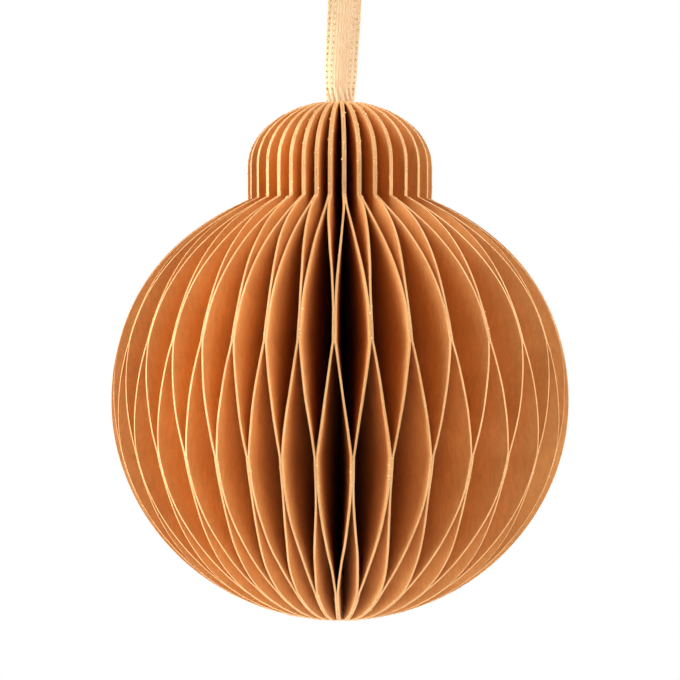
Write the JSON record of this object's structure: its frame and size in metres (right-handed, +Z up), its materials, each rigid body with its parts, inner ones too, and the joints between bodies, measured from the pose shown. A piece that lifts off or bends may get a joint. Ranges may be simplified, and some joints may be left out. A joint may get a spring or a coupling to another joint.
{
  "type": "honeycomb paper ornament",
  "caption": "Hanging bauble of folded paper sheets glued into an open honeycomb fan, with a round body, a domed knob, gold cut edges and a ribbon loop.",
  "frame": {"origin": "inside top of the ribbon loop, where the ornament hangs, on the ornament's axis", "axes": "+Z up along the ornament's axis, -Y towards the viewer of the picture, +X to the picture's right"},
  "size_m": [0.0816, 0.0818, 0.1325],
  "materials": {
    "cotton_paper": "thick matt cotton paper dyed amber brown, its cut edges coated with fine gold glitter",
    "metallic_ribbon": "narrow woven ribbon of pale gold metallic yarn with firm selvedges"
  },
  "bodies": {
    "root": {"sheet_01": "cotton_paper", "sheet_02": "cotton_paper", "sheet_03": "cotton_paper", "sheet_04": "cotton_paper", "sheet_05": "cotton_paper", "sheet_06": "cotton_paper", "sheet_07": "cotton_paper", "sheet_08": "cotton_paper", "sheet_09": "cotton_paper", "sheet_10": "cotton_paper", "sheet_11": "cotton_paper", "sheet_12": "cotton_paper", "sheet_13": "cotton_paper", "sheet_14": "cotton_paper", "sheet_15": "cotton_paper", "sheet_16": "cotton_paper", "sheet_17": "cotton_paper", "sheet_18": "cotton_paper", "sheet_19": "cotton_paper", "sheet_20": "cotton_paper", "sheet_21": "cotton_paper", "sheet_22": "cotton_paper", "sheet_23": "cotton_paper", "sheet_24": "cotton_paper", "sheet_25": "cotton_paper", "sheet_26": "cotton_paper", "sheet_27": "cotton_paper", "sheet_28": "cotton_paper", "sheet_29": "cotton_paper", "sheet_30": "cotton_paper", "sheet_31": "cotton_paper", "sheet_32": "cotton_paper", "sheet_33": "cotton_paper", "sheet_34": "cotton_paper", "hanging_ribbon": "metallic_ribbon"}
  },
  "joints": []
}
